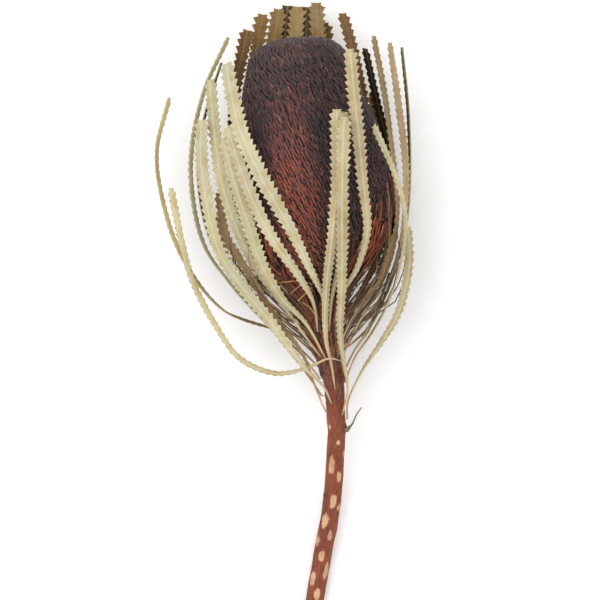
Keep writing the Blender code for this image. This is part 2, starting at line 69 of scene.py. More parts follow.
STEM_Y = [-4, 0, 40, 80, 92, 104, 114, 122, 128, 132.6]
STEM_R = [3.5, 3.5, 3.6, 3.5, 3.7, 4.0, 4.6, 5.6, 6.6, 7.0]
STEM_SIDES = 84
STEM_STEP = 0.55
STEM_CLEAR = 0.02  # nothing of the bark is lower than this over the table
STUB_TWIG = [(14.6, 82.0, 20.0), (17.0, 84.5, 21.5), (18.8, 88.5, 22.5), (20.8, 91.2, 23.0)]

# Leaf scars: place along the stem, angle round it from the front, half width, half length.
SCARS = [(84.4, -48, 0.7, 1.3), (78.2, 15, 0.9, 1.2), (72.8, 62, 0.9, 1.6), (68.8, -22, 1.4, 4.0),
         (64.0, 34, 1.1, 2.5), (54.0, 7, 1.6, 3.0), (51.2, 53, 1.1, 2.0), (45.4, -27, 1.6, 3.4),
         (40.0, 23, 1.2, 2.2), (36.8, -53, 1.3, 2.2), (31.2, -7, 1.4, 2.3), (25.4, 43, 1.2, 4.0),
         (21.6, -39, 1.5, 3.2), (15.8, 7, 1.5, 2.5), (8.5, 30, 1.5, 2.6)]
DARK_BUMPS = [(55.8, -62, 0.8, 1.1), (46.0, -58, 0.7, 1.0), (99.2, 52, 0.8, 1.2),
              (83.0, 86, 1.3, 1.8)]
SCARS_BEHIND = (5.5, 165)  # the same scars once more, so far along the stem and round it

# Cone: core radius against distance from its top, along the line from its top to its foot.
CONE_FOOT = np.array([4.8, 133.4, 33.5])
CONE_TOP = np.array([-5.8, 239.6, 43.6])
CONE_S = [0, 0, 1.2, 3.0, 5, 9, 17, 25, 32, 40, 50, 58, 66, 74, 82, 88, 94, 99, 103, 106.5]
CONE_R = [0.4, 5.5, 10.5, 14.2, 16.6, 19.4, 21.6, 23.8, 26.2, 28.6, 30.4, 31.3, 31.0, 29.6, 26.6,
          22.4, 16.4, 11.2, 8.2, 7.2]
GOLDEN = math.pi * (3 - math.sqrt(5))  # the angle between one bud and the next
SPREAD = 0.7549  # share of a length from one wire or bract to the next
BUD_AREA = 1.9  # surface that each bud takes up, square mm
BUD_END = 0.94  # share of the surface, from its top, that buds cover
STREAK_AREA = 9.0  # surface for each of the thin styles pressed on the buds
TIP_SINK = 1.4  # how far core and buds sink at the cone's top
SINK_RUN = (4, 26)  # and where that fades out, along the surface from the top
BUD_SHADES = (0.6, 0.9, 1.15)  # painted shade: a bud is darker at its root, down among the others, and lighter at its end
BUD_SIDES = 5
CORE_LIFT = -0.7  # the core's surface against the cone's
CORE_ROWS = 90
CORE_SIDES = 96
STYLE_COUNT = 1700
BRACT_COUNT = 420
BRACT_BOW = 17  # how much wider the shell is, at most, for a bract at the side
WIRE_ASIDE = np.array([0.11, 0.2, 0.97])  # hardly a wire runs this way: it turns their sections
TWIG_ASIDE = np.array([0.13, 0.21, 0.97])
# Loose wires in front of the cone's foot, and half their thickness.
CROSSING_HALF = 0.24
CROSSING = [[(-16.8, 149.6, 49), (-9, 145.5, 50.5), (-4, 142.4, 51), (1, 140.6, 50)],
            [(-12.8, 141.2, 47), (-8, 141.8, 49), (-4, 142, 50), (0.4, 139, 49)],
            [(-8, 136.8, 46.5), (-5.4, 139, 48.5), (-3, 141, 49.5)],
            [(-4.8, 134, 46), (-2, 136.8, 48), (1, 139.4, 49.5)],
            [(-3, 133.4, 45), (0, 131.4, 45.5), (2, 128.6, 44.5)]]

# Leaves: radius of the shell that they bow round, against y, and the blade's measures.
SHELL_Y = [86, 100, 112, 120, 128, 134, 142, 150, 160, 174, 190, 205, 220, 240, 256]
SHELL_R = [3.9, 4.2, 4.9, 6.2, 8.6, 12.5, 20.0, 27.5, 32.5, 34.6, 34.6, 33.6, 32.0, 29.0, 27.0]
TOOTH_PITCH = 2.8
TOOTH_TIP = 3.25  # half width at a tooth's point
TOOTH_NOTCH = 2.0  # half width between two teeth
VEIN_SKEW = 0.22  # teeth lean forward by this much for each mm out from the midrib
RIB_HALF = 0.34
BLADE_KEEL = 1.0
BLADE_THICK = 0.34
BLADE_GROW = 60.0  # length over which a blade widens from its stalk
BLADE_TURN = 45.0  # length over which a blade takes up its facing
BLADE_TWIST = 24.0  # length over which it takes up its further turn
BLADE_EDGE = 0.3  # height of a blade's edge over its centre line
RIB_HIGH = 0.22  # how far the midrib stands out of it
PETIOLE = 0.6
STALK = 14.0
TIP_CUT = 1.6  # the cut-off end of a blade, beyond its last tooth
FOOT_OUT = 1.1  # how far a leaf's foot stands off the bark,
NECK_OUT = 0.5  # how much more it does on the scaly neck,
NECK_FROM = 108  # where that neck begins,
ROOT_DEEP = 0.6  # and how deep its root goes into the bark
TOP_COLUMNS = 9  # columns of a blade's ridged, felted side; the rest are the other

# One row for each leaf: its number, as in leaf_01; place of its foot along the stem and angle
# round it; how far the blade turns with that angle; a further turn; its width against the others;
# colours of its felted underside and its smooth upper face; then the way from stalk to tip, as
# (x, y, height over the floor) or (x, y, distance, "f" in front of the shell or "b" behind it).
# Both colours are painted darker, as painted shade, on leaves that lie in shade, such as leaf_03,
# leaf_04, leaf_17 and leaf_23.
LEAVES = [
    (1, 119, -112, 0.8, -4, 0.8, "#a3935f", "#7d6c45", [(-15, 123, 25.3), (-35, 131, 30),
     (-51, 151.5, 33.5), (-59.5, 177.5, 38), (-61, 194.5, 41), (-56, 215, 44)]),
    (2, 109.5, 66, 0.45, 10, 0.68, "#bdb28c", "#a08a62", [(7.5, 111, 4.6, "f"), (-1.5, 107, 31),
     (-13.5, 105, 29), (-28, 111, 30.5), (-39, 126.5, 35), (-47, 142.5, 39), (-51.5, 159, 42),
     (-55.5, 179, 44)]),
    (3, 103, -84, 0.9, -14, 0.65, "#8f8a66", "#5c5740", [(-4, 113.5, 25), (-19, 127, 29.5),
     (-33.5, 143.5, 34), (-43, 158.5, 38), (-47.5, 188.5, 42), (-42.5, 216.5, 44),
     (-32.5, 239, 45)]),
    (4, 108, -104, 0.9, 10, 0.8, "#7d775a", "#4e4a37", [(-10, 121, 22.5), (-29.5, 141, 28),
     (-41, 163, 33), (-44.5, 190.5, 37), (-41, 210.5, 39), (-35, 229, 40)]),
    (5, 93, -18, 0.45, 0, 1.06, "#bab597", "#8f7d55", [(6, 99, 1.8, "f"), (-3, 108.5, 36),
     (-16.2, 126.4, 43.2), (-29, 142.6, 47.2), (-36.2, 154.5, 50), (-40.2, 170, 51.5),
     (-43, 188.5, 52), (-43, 206, 52)]),
    (6, 112, -34, 0.4, 0, 1, "#b7b291", "#8a7850", [(-8, 128.5, 39), (-19, 144.5, 46.5),
     (-29.5, 164.5, 53.5), (-35, 182.5, 54), (-38, 202.5, 52), (-39.5, 222, 50)]),
    (7, 89.5, -50, 0.35, 160, 0.66, "#b5a67c", "#a08a62", [(2.5, 99, 25.5), (-3.5, 113.5, 31.5),
     (-13.5, 127, 38.5), (-25.5, 146.5, 43.5), (-33, 158.5, 45.5), (-36.5, 177, 47)]),
    (8, 96, -84, 0.5, 160, 0.75, "#ab9c74", "#97835c", [(-2, 106, 24), (-9.5, 117, 29),
     (-23, 133, 36), (-33.5, 149.5, 39.5), (-39, 168.5, 42)]),
    (9, 111, -14, 0.55, 0, 1.05, "#b6b090", "#8f7d55", [(-1.5, 125, 40), (-10.5, 134.5, 47),
     (-18.5, 147.5, 3.2, "f"), (-25, 167, 3, "f"), (-29.5, 180.5, 3.0, "f"), (-34, 198.5, 57.5)]),
    (10, 122, -24, 0.6, 0, 1.05, "#bdb79a", "#8f7d55", [(1.5, 133, 46.5), (-4.5, 144, 3, "f"),
     (-15, 159, 2.6, "f"), (-22, 173, 2.4, "f"), (-26.5, 184.5, 2.6, "f"),
     (-32.5, 203, 2.4, "f")]),
    (11, 126.4, -4, 0.6, 0, 1.2, "#bcb79b", "#8f7d55", [(5, 135.5, 2.6, "f"),
     (-0.9, 148.5, 2.6, "f"), (-9, 165, 2.6, "f"), (-19.5, 183.5, 2.6, "f"), (-28, 203.5, 3, "f"),
     (-33, 228, 4, "f")]),
    (12, 99, 2, 0.6, 0, 0.95, "#b7ab8a", "#8f7d55", [(8.5, 109, 0.9, "f"), (6.5, 118, 2.8, "f"),
     (6, 130.5, 5.5, "f"), (7, 145.5, 5, "f"), (9, 161, 5.2, "f"), (10.5, 178.5, 5.4, "f"),
     (10.5, 209.5, 5.4, "f")]),
    (13, 122.4, 12, 0.8, 0, 0.95, "#a89c7a", "#84724c", [(8.5, 134.5, 1.8, "f"),
     (11, 146.5, 1.6, "f"), (12.5, 161, 1.8, "f"), (12, 176.5, 2, "f"), (13, 196, 1.8, "f"),
     (14, 208.5, 1.5, "f")]),
    (14, 88.4, 30, 0.3, 0, 0.95, "#b2a785", "#8f7d55", [(15, 98, 1.8, "f"),
     (13.5, 109.5, 4.5, "f"), (12, 121, 8, "f"), (12.5, 139.5, 7.8, "f"), (12.6, 156.5, 7.6, "f"),
     (12.6, 176.5, 7.7, "f"), (12.9, 194, 7.7, "f"), (13.5, 206.5, 7.4, "f")]),
    (15, 125.6, 30, 0.6, 0, 1, "#b4a887", "#8f7d55", [(13, 137.5, 2.2, "f"), (19, 148, 2.6, "f"),
     (22.5, 162.5, 2.8, "f"), (21, 178.5, 3, "f"), (19, 198.5, 4, "f"), (15.5, 233.5, 4.4, "f")]),
    (16, 121, 134, 1, 0, 1.1, "#b89c6c", "#94754f", [(14, 138.5, 1.6, "b"), (21.5, 156.5, 2, "b"),
     (25, 178.5, 2.2, "b"), (22.5, 206.5, 2.4, "b"), (17.5, 233.5, 18), (13, 249.5, 22)]),
    (17, 121.6, 112, 1.05, 0, 1.05, "#6a5a3c", "#3c3223", [(21, 134.5, 3, "b"),
     (30.5, 154.5, 1.8, "b"), (33.5, 174.5, 1.8, "b"), (32, 192.5, 1.8, "b"),
     (27.5, 211, 2.6, "b"), (22, 235, 30)]),
    (18, 101.6, 58, 0.75, -20, 0.85, "#bcb494", "#9a875e", [(17.5, 111, 28), (25, 122, 33),
     (31.5, 135, 38.5), (37, 155, 47), (37.5, 170, 54), (33, 185.5, 4, "f"),
     (25, 203.5, 4.4, "f")]),
    (19, 113.6, 80, 0.7, 168, 0.85, "#988459", "#8a7654", [(18, 123, 32), (27, 137, 37),
     (32.5, 151, 42.5), (35, 170.5, 47.5), (33, 192.5, 51), (30, 215, 52), (25.5, 239.5, 50)]),
    (20, 116.4, 98, 0.8, 186, 1, "#b8a47e", "#ad9674", [(17.5, 122.5, 27.5), (26.5, 132, 30),
     (34.5, 149.5, 34.5), (38, 168.5, 38.5), (38.4, 188.5, 41), (35.6, 211.5, 43), (32, 237, 44)]),
    (21, 114.4, 112, 0.95, 0, 0.9, "#94906f", "#6f6a50", [(18.5, 118.5, 22.5), (24.4, 124.6, 23),
     (30, 136, 25.5), (34.5, 149, 28), (38.2, 164, 30), (39.6, 182, 31.5), (39, 210.5, 32.5),
     (36.5, 235.5, 33)]),
    (22, 86.4, 62, 0.4, 0, 0.8, "#ada382", "#857850", [(15, 93.5, 23.5), (20.3, 105.2, 28),
     (28.4, 117.5, 33.5), (34.6, 128, 37.5), (38.2, 140, 39.5), (39.4, 151, 40.5),
     (38.8, 163.5, 41.5)]),
    (23, 107, 86, 0.8, 172, 0.8, "#6a5a3c", "#4c3e29", [(17, 113, 26), (22.8, 121.6, 29.5),
     (27.8, 132, 34.4), (32.15, 145, 37.7)]),
    (24, 117, 56, 0.45, 150, 0.8, "#a89468", "#8c7648", [(15.5, 124.5, 36.5), (22.4, 134.4, 41.5),
     (28, 142.5, 45), (34.3, 161.5, 50)]),
    (25, 123.6, -164, 1, 0, 1.15, "#a8966c", "#4f422d", [(-2, 139, 3, "b"),
     (-6.5, 160.5, 2.4, "b"), (-10.5, 186.5, 2.6, "b"), (-11.5, 218.5, 3, "b"),
     (-9, 253, 4, "b")]),
    (26, 125.6, 178, 1, 0, 1.15, "#b8a87c", "#a38e64", [(3, 139, 1.4, "b"), (-1, 160.5, 1.2, "b"),
     (-4, 186.5, 1.2, "b"), (-6.5, 218.5, 1.2, "b"), (-5, 252.5, 1.2, "b")]),
    (27, 123.2, 172, 1, 0, 1.15, "#a8966c", "#5c4b31", [(6.5, 139, 3.4, "b"),
     (4.5, 160.5, 2.0, "b"), (1.5, 186.5, 1.8, "b"), (-1.5, 218.5, 3.0, "b"),
     (-1.5, 252.5, 4.4, "b")]),
    (28, 124.8, 161, 1, 0, 1.15, "#b8a87c", "#9c8760", [(9.5, 139, 1.4, "b"),
     (10, 160.5, 1.2, "b"), (8, 186.5, 1.2, "b"), (4.5, 218.5, 1.2, "b"), (2.5, 254, 1.4, "b")]),
    (29, 122.4, 150, 1, 0, 1.15, "#a8966c", "#7c603e", [(12, 139, 3.4, "b"), (15, 160.5, 2.8, "b"),
     (14.5, 186.5, 2.6, "b"), (9.5, 218.5, 3.2, "b"), (5.5, 246, 4.6, "b")]),
    (30, 126, -152, 1, 0, 1.15, "#b8a87c", "#957a50", [(-5, 139, 1.8, "b"), (-12, 160.5, 1.4, "b"),
     (-16.5, 186.5, 1.2, "b"), (-17.5, 218.5, 1.2, "b"), (-12.5, 251.5, 1.6, "b")]),
    (31, 122.8, -138, 1, 0, 1.15, "#b0a078", "#8f744a", [(-9, 139, 3.2, "b"),
     (-19, 160.5, 2.8, "b"), (-24, 186.5, 2.8, "b"), (-24, 216.5, 3.2, "b"),
     (-19, 249.5, 4.2, "b")]),
    (32, 120.8, -112, 1, 0, 1.15, "#a8966c", "#806340", [(-8, 133, 4, "b"), (-23, 154.5, 2.2, "b"),
     (-29.5, 172.5, 1.4, "b"), (-31.5, 194.5, 1.8, "b"), (-29.5, 221, 2.6, "b"),
     (-25, 243, 3, "b")]),
    (33, 118.4, -150, 1.187, 0, 1, "#bcae84", "#8a7850", [(-3.5, 134.5, 17), (-13.5, 152.5, 5.2),
     (-19, 168.5, 0.6), (-21.5, 182.5, 0), (-22.5, 194.5, 0), (-21.5, 209.5, 2.2),
     (-19, 224.5, 7)]),
    (34, 117.6, 150, 1.183, 0, 1, "#c0b288", "#8f7d55", [(15, 134.5, 17), (20.5, 152.5, 5.2),
     (22.5, 168.5, 0.6), (21, 182.5, 0), (19.5, 194.5, 0), (17, 209.5, 2.2), (14, 223, 7)]),
    (35, 116.4, -124, 1, 0, 1, "#b8a97e", "#84724c", [(-8, 133, 19), (-21.5, 152.5, 13),
     (-28, 171, 11), (-30.5, 190.5, 11.5), (-30.5, 207.5, 12.5)]),
    (36, 112, 128, 1, 0, 1, "#b4a57a", "#84724c", [(17.5, 131, 17.5), (27.5, 152.5, 12.5),
     (31, 171, 11), (29.5, 190.5, 10.5), (27, 206.5, 11.5), (25, 217.5, 13.5)]),
]
RESTING = (33, 34)
# Length over which a blade widens, where it isn't BLADE_GROW or three quarters of a short blade.
LEAF_GROW = {5: 40, 6: 42, 7: 66, 9: 42, 10: 50, 12: 82, 13: 74, 14: 84, 15: 74}

# Sockets of the Mix node that carry colour.
FACTOR, FIRST, SECOND, MIXED = 0, 6, 7, 2


def linear(code):
    """Linear colour of an sRGB hex value: each channel through the sRGB curve."""
    srgb = np.array([int(code[k:k + 2], 16) for k in (1, 3, 5)]) / 255
    return np.where(srgb <= 0.04045, srgb / 12.92, ((srgb + 0.055) / 1.055) ** 2.4)


def rgba(code):
    """The same colour with full opacity, for a socket."""
    return (*linear(code), 1.0)


def feed(node, inputs):
    """Set a node's inputs: each to a value, or linked to the socket or the node that feeds it. A
    Mix node gives its colour, any other its first output."""
    for key, value in inputs.items():
        if isinstance(value, bpy.types.Node):
            value = value.outputs[MIXED if isinstance(value, bpy.types.ShaderNodeMix) else 0]
        if isinstance(value, bpy.types.NodeSocket):
            node.id_data.links.new(value, node.inputs[key])
        else:
            node.inputs[key].default_value = value


def add_node(tree, kind, inputs=None, stops=None, **settings):
    """Add one shader node, with its settings, inputs and, for a colour ramp, its stops."""
    node = tree.nodes.new("ShaderNode" + kind)
    for key, value in settings.items():
        setattr(node, key, value)
    feed(node, inputs or {})
    if stops:
        while len(node.color_ramp.elements) < len(stops):
            node.color_ramp.elements.new(0.5)
        for element, (at, code) in zip(node.color_ramp.elements, stops):
            element.position = at
            element.color = rgba(code)
    return node


def new_material(name, roughness, sheen=0.0, specular=0.5):
    """A material with its Principled shader; uniform numbers sit on the shader's own sockets."""
    mat = bpy.data.materials.new(name)
    mat.use_nodes = True
    shader = mat.node_tree.nodes["Principled BSDF"]
    feed(shader, {"Roughness": roughness, "Sheen Weight": sheen, "Specular IOR Level": specular})
    return mat, mat.node_tree, shader


def bark_material():
    """Dried bark of a young branch: red-brown, with fine lengthwise cracks that catch the light.
    Over it lie the marks of the stem's attributes: a darker, scaly neck, pale cork with a ragged
    rim on the leaf scars, dark bumps and a twig weathered grey."""
    mat, tree, shader = new_material("dried branch bark", 0.62)
    place = add_node(tree, "TexCoord").outputs["Object"]
    neck, scar, bump, weathered = (
        add_node(tree, "Attribute", attribute_name=name).outputs["Fac"]
        for name in ("neck", "scar", "bump", "weathered"))
    fibres_at = add_node(tree, "Mapping", {"Vector": place, "Scale": (1100, 90, 1100)})
    fibres = add_node(tree, "TexNoise", {"Vector": fibres_at, "Scale": 1.0, "Detail": 6.0,
                                         "Roughness": 0.62})
    patches = add_node(tree, "TexNoise", {"Vector": place, "Scale": 160.0, "Detail": 3.0})
    bark = add_node(tree, "ValToRGB", {"Fac": fibres},
                    stops=[(0.28, "#3c160a"), (0.46, "#6b2b13"), (0.6, "#843b1c"),
                           (0.78, "#a25c33")])
    warm = add_node(tree, "ValToRGB", {"Fac": patches},
                    stops=[(0.35, "#652814"), (0.65, "#945028")])
    scales = add_node(tree, "ValToRGB", {"Fac": fibres},
                      stops=[(0.3, "#2a160f"), (0.5, "#582f21"), (0.7, "#8a4a32")])
    cork = add_node(tree, "ValToRGB", {"Fac": patches}, stops=[(0.3, "#ac7856"), (0.6, "#cb9f78")])
    ragged_at = add_node(tree, "Mapping", {"Vector": place, "Scale": (900, 380, 900)})
    ragged = add_node(tree, "TexNoise", {"Vector": ragged_at, "Scale": 1.0, "Detail": 4.0})
    torn = add_node(tree, "Math", {0: ragged, 1: 1.9, 2: -0.98}, operation="MULTIPLY_ADD")
    outline = add_node(tree, "Math", {0: scar, 1: torn}, operation="ADD")
    rim = add_node(tree, "ValToRGB", {"Fac": outline},
                   stops=[(0.38, "#000000"), (0.54, "#d0d0d0"), (0.85, "#ffffff")])
    colour = add_node(tree, "Mix", {FACTOR: 0.35, FIRST: bark, SECOND: warm}, data_type="RGBA")
    for mask, over in ((neck, scales), (rim, cork), (bump, rgba("#2a1c14")),
                       (weathered, rgba("#6b6650"))):
        colour = add_node(tree, "Mix", {FACTOR: mask, FIRST: colour, SECOND: over},
                          data_type="RGBA")
    relief = add_node(tree, "Bump", {"Strength": 0.6, "Distance": 0.0003, "Height": fibres})
    feed(shader, {"Base Color": colour, "Normal": relief})
    return mat


def cut_wood_material():
    """Sapwood cut across: pale tan and mottled, quite dull."""
    mat, tree, shader = new_material("cut sapwood", 0.8)
    place = add_node(tree, "TexCoord").outputs["Object"]
    grain = add_node(tree, "TexNoise", {"Vector": place, "Scale": 1500.0, "Detail": 4.0})
    colour = add_node(tree, "ValToRGB", {"Fac": grain},
                      stops=[(0.3, "#a87850"), (0.55, "#cda577"), (0.8, "#dfc099")])
    feed(shader, {"Base Color": colour})
    return mat


def bud_material():
    """Dried flower buds: thin brown-purple perianths with short hairs, so dull with a soft sheen.
    Their hue is an attribute made with the buds; fine mottling of about 0.5 mm lies over it."""
    mat, tree, shader = new_material("dried flower buds", 0.72, sheen=0.12, specular=0.35)
    place = add_node(tree, "TexCoord").outputs["Object"]
    hue = add_node(tree, "Attribute", attribute_name="hue")
    mottle = add_node(tree, "TexNoise", {"Vector": place, "Scale": 1400.0, "Detail": 3.0})
    shade = add_node(tree, "ValToRGB", {"Fac": mottle}, stops=[(0.3, "#a8a8a8"), (0.65, "#ffffff")])
    colour = add_node(tree, "Mix", {FACTOR: 0.7, FIRST: hue, SECOND: shade}, data_type="RGBA",
                      blend_type="MULTIPLY")
    relief = add_node(tree, "Bump", {"Strength": 0.5, "Distance": 0.0002, "Height": mottle})
    feed(shader, {"Base Color": colour, "Normal": relief})
    return mat


def wire_material():
    """Dried styles: hard smooth wires, a little glossy, from rust to straw; the hue is an
    attribute made with them."""
    mat, tree, shader = new_material("dried styles", 0.42, specular=0.45)
    hue = add_node(tree, "Attribute", attribute_name="hue")
    feed(shader, {"Base Color": hue})
    return mat


def leaf_material(name, roughness, sheen, rib_highlight_code, rib_highlight_share, streak_codes):
    """One face of a dried leaf. UV is 1 for 10 mm across and for 200 mm along: the midrib is a pale
    stripe in u, a painted highlight along the rib, and the fine parallel veins are noise drawn out
    along v."""
    mat, tree, shader = new_material(name, roughness, sheen=sheen, specular=0.3)
    tint = add_node(tree, "Attribute", attribute_name="tint")
    uv = add_node(tree, "UVMap", uv_map="blade")
    place = add_node(tree, "TexCoord").outputs["Object"]
    veins_at = add_node(tree, "Mapping", {"Vector": uv, "Scale": (26.0, 26.0, 1.0)})
    veins = add_node(tree, "TexNoise", {"Vector": veins_at, "Scale": 1.0, "Detail": 5.0,
                                        "Roughness": 0.6})
    streaks = add_node(tree, "ValToRGB", {"Fac": veins},
                       stops=[(0.3, streak_codes[0]), (0.5, "#ffffff"), (0.72, streak_codes[1])])
    blotch = add_node(tree, "TexNoise", {"Vector": place, "Scale": 130.0, "Detail": 3.0})
    blush = add_node(tree, "ValToRGB", {"Fac": blotch},
                     stops=[(0.38, "#e6d9b8"), (0.55, "#ffffff"), (0.7, "#f2cfa8")])
    veined = add_node(tree, "Mix", {FACTOR: 0.75, FIRST: tint, SECOND: streaks}, data_type="RGBA",
                      blend_type="MULTIPLY")
    blushed = add_node(tree, "Mix", {FACTOR: 0.6, FIRST: veined, SECOND: blush}, data_type="RGBA",
                       blend_type="MULTIPLY")
    across = add_node(tree, "SeparateXYZ", {"Vector": uv})
    off = add_node(tree, "Math", {0: across.outputs["X"], 1: 0.5}, operation="SUBTRACT")
    away = add_node(tree, "Math", {0: off}, operation="ABSOLUTE")
    # painted highlight: a pale stripe along the midrib
    rib = add_node(tree, "MapRange", {"Value": away, "From Min": 0.028, "From Max": 0.05,
                                      "To Min": rib_highlight_share, "To Max": 0.0})
    colour = add_node(tree, "Mix", {FACTOR: rib, FIRST: blushed, SECOND: rgba(rib_highlight_code)},
                      data_type="RGBA")
    felt = add_node(tree, "TexNoise", {"Vector": place, "Scale": 2600.0, "Detail": 2.0})
    height = add_node(tree, "Math", {0: veins, 1: felt}, operation="ADD")
    relief = add_node(tree, "Bump", {"Strength": 0.45, "Distance": 0.0002, "Height": height})
    feed(shader, {"Base Color": colour, "Normal": relief})
    return mat


def grid_faces(rows, columns):
    """Quads of a tube of points, row by row, each row closed on itself."""
    i = np.arange(rows - 1)[:, None] * columns
    j = np.arange(columns)[None, :]
    k = (j + 1) % columns
    return np.stack([i + j, i + k, i + columns + k, i + columns + j], axis=-1).reshape(-1, 4)


def end_faces(rows, columns):
    """The faces that close such a tube, its first row and its last."""
    around = np.arange(columns)
    return np.stack([around[::-1], (rows - 1) * columns + around])


def piece(name, points, face_sets, mats, layers, nodes=(), uv=None, second=None, crease=50):
    """Put points (mm) and faces into a mesh at the origin, facing outward, and tie it to the
    frame. `layers` are values or colours of the points, `second` marks faces with the second
    material, and faces that meet at more than `crease` degrees keep a sharp edge."""
    corners = np.concatenate([f.ravel() for f in face_sets])
    sizes = np.concatenate([np.full(len(f), f.shape[1]) for f in face_sets])
    starts = np.cumsum(sizes) - sizes
    a, b, c = (points[face_sets[0][:, corner]] for corner in range(3))
    middle = points.mean(axis=0)
    inside_out = np.einsum("ij,ij->i", a - middle, np.cross(b - middle, c - middle)).sum() < 0
    mesh = bpy.data.meshes.new(name)
    mesh.vertices.add(len(points))
    mesh.vertices.foreach_set("co", ((points + LAYOUT) * MM).astype(np.float32).ravel())
    mesh.loops.add(len(corners))
    mesh.loops.foreach_set("vertex_index", corners.astype(np.int32))
    mesh.polygons.add(len(starts))
    mesh.polygons.foreach_set("loop_start", starts.astype(np.int32))
    if second is not None:
        mesh.polygons.foreach_set("material_index", second.astype(np.int32))
    mesh.update(calc_edges=True)
    mesh.polygons.foreach_set("use_smooth", np.ones(len(starts), bool))
    for key, values in layers.items():
        if values.ndim == 1:
            layer = mesh.attributes.new(key, "FLOAT", "POINT")
            layer.data.foreach_set("value", values.astype(np.float32))
        else:
            layer = mesh.attributes.new(key, "FLOAT_COLOR", "POINT")
            opaque = np.concatenate([values, np.ones((len(values), 1))], axis=1)
            layer.data.foreach_set("color", opaque.astype(np.float32).ravel())
    if uv is not None:
        layer = mesh.uv_layers.new(name="blade")
        layer.data.foreach_set("uv", uv[corners].astype(np.float32).ravel())
    if inside_out:
        mesh.flip_normals()
    mesh.set_sharp_from_angle(angle=math.radians(crease))
    for mat in mats:
        mesh.materials.append(mat)
    obj = bpy.data.objects.new(name, mesh)
    bpy.context.scene.collection.objects.link(obj)
    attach(obj, "root")
    if nodes:
        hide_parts(*nodes)


def unit(vectors):
    """Vectors scaled to length 1."""
    return vectors / np.linalg.norm(vectors, axis=-1, keepdims=True)


def smoothstep(low, high, value):
    """0 below `low`, 1 above `high`, with a soft rise 3t^2 - 2t^3 between."""
    t = np.clip((value - low) / (high - low), 0, 1)
    return t * t * (3 - 2 * t)


def axis_at(y):
    """Points of the shared axis at heights y."""
    return np.stack([np.interp(y, AXIS_Y, AXIS_X), y, np.interp(y, AXIS_Y, AXIS_Z)], axis=-1)


def wrapped(degrees):
    """The same angles between -180 and 180 degrees."""
    return (degrees + 180) % 360 - 180


def drawn_between(at, run, rows):
    """Rows of a table, such as points or colours, that stand at `run`, drawn between at `at`."""
    return np.stack([np.interp(at, run, column) for column in rows.T], axis=-1)


def soften(values, width):
    """Running mean over `width` values, an odd number, weighted toward the middle one."""
    kernel = np.hanning(width) / np.hanning(width).sum()
    padded = np.pad(values, width // 2, mode="reflect", reflect_type="odd")
    return np.convolve(padded, kernel, "valid")


def smooth_path(points, step):
    """Points about `step` mm apart along a smooth curve through `points`, and their run. Between
    two points it blends straight lines through the nearest four, then the blends, and once more,
    with knots as far apart as the root of the distance."""
    pts = np.array(points, float)
    pts = np.vstack([2 * pts[0] - pts[1], pts, 2 * pts[-1] - pts[-2]])
    dense = []
    for first in range(len(pts) - 3):
        p = pts[first:first + 4]
        knot = np.cumsum([0, *np.linalg.norm(np.diff(p, axis=0), axis=1) ** 0.5])
        t = np.linspace(knot[1], knot[2], 40, endpoint=False)[:, None]
        for spans in (((0, 1), (1, 2), (2, 3)), ((0, 2), (1, 3)), ((1, 2),)):
            p = [((knot[b] - t) * p[n] + (t - knot[a]) * p[n + 1]) / (knot[b] - knot[a])
                 for n, (a, b) in enumerate(spans)]
        dense.append(p[0])
    dense = np.vstack(dense + [pts[-2][None]])
    run = np.cumsum([0, *np.linalg.norm(np.diff(dense, axis=0), axis=1)])
    at = np.linspace(0, run[-1], max(2, int(round(run[-1] / step))) + 1)
    return drawn_between(at, run, dense), at


def smooth_way(points, count):
    """`count` points spaced evenly along the smooth curve through `points`."""
    dense, run = smooth_path(points, 0.3)
    return drawn_between(np.linspace(0, run[-1], count), run, dense)


def colours(*codes):
    """Linear colours, one row for each hex code."""
    return np.array([linear(code) for code in codes])


def ramp(value, stops, codes):
    """Linear colours for `value`, drawn between hex colours at `stops`."""
    return drawn_between(value, stops, colours(*codes))


def toward(base, colour, share):
    """Colours moved toward another by a share from 0 to 1."""
    return base + (colour - base) * share[..., None]


def sweep(paths, wide, thick, normal, sides):
    """Closed rods, many at once: point = path + wide cos t side + thick sin t up, with t round the
    section, `side` square to the path and to `normal`, `up` square to both."""
    count, rings = paths.shape[:2]
    tangent = unit(np.gradient(paths, axis=1))
    side = unit(np.cross(tangent, normal))
    up = np.cross(side, tangent)
    t = 2 * np.pi * np.arange(sides) / sides
    points = (paths[:, :, None] + wide[:, :, None, None] * np.cos(t)[:, None] * side[:, :, None]
              + thick[:, :, None, None] * np.sin(t)[:, None] * up[:, :, None])
    first = (np.arange(count) * rings * sides)[:, None, None]
    quads = (first + grid_faces(rings, sides)).reshape(-1, 4)
    ends = first + end_faces(rings, sides)
    return points.reshape(-1, 3), [quads, ends[:, 0], ends[:, 1]]


def ovals(table, y, angle, radius):
    """Highest value of soft ovals, exp(-(across^2 + along^2)^2), for each row of the table."""
    high = np.zeros(np.broadcast(y, angle).shape)
    for at, turn, half_width, half_length in table:
        across = np.radians(wrapped(angle - turn)) * radius / half_width
        high = np.maximum(high, np.exp(-(across ** 2 + ((y - at) / half_length) ** 2) ** 2))
    return high


